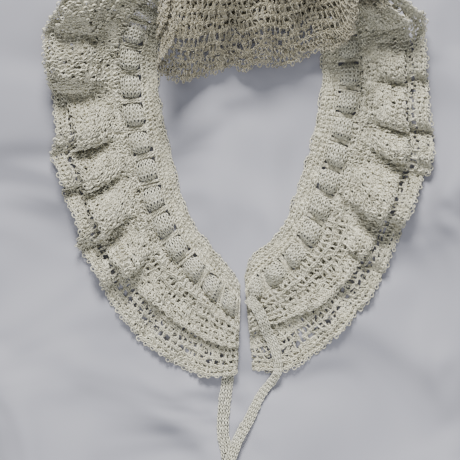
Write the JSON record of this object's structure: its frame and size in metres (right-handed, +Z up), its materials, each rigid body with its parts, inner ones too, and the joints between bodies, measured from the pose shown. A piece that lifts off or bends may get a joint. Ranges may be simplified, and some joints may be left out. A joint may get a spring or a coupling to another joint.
{
  "type": "lace collar",
  "caption": "Cream knitted lace collar laid flat: dense neckband with a flat tie threaded through eyelets, a short frill over a longer one, and the back turned over into the neck.",
  "frame": {"origin": "middle of the collar's underside, on the surface that it lies on, measured without the tie's free ends", "axes": "+Z up out of the surface, +Y towards the collar's back, +X towards its right front as seen from above"},
  "size_m": [0.2154, 0.2922, 0.0503],
  "materials": {
    "band_lace": "matte cotton yarn",
    "lower_lace": "matte cotton yarn",
    "upper_lace": "matte cotton yarn",
    "tie_cord": "matte cotton yarn"
  },
  "bodies": {
    "root": {"neckband": "band_lace", "lower_frill": "lower_lace", "upper_frill": "upper_lace", "tie_threaded": "tie_cord", "tie_end_left": "tie_cord", "tie_end_right": "tie_cord"}
  },
  "joints": []
}
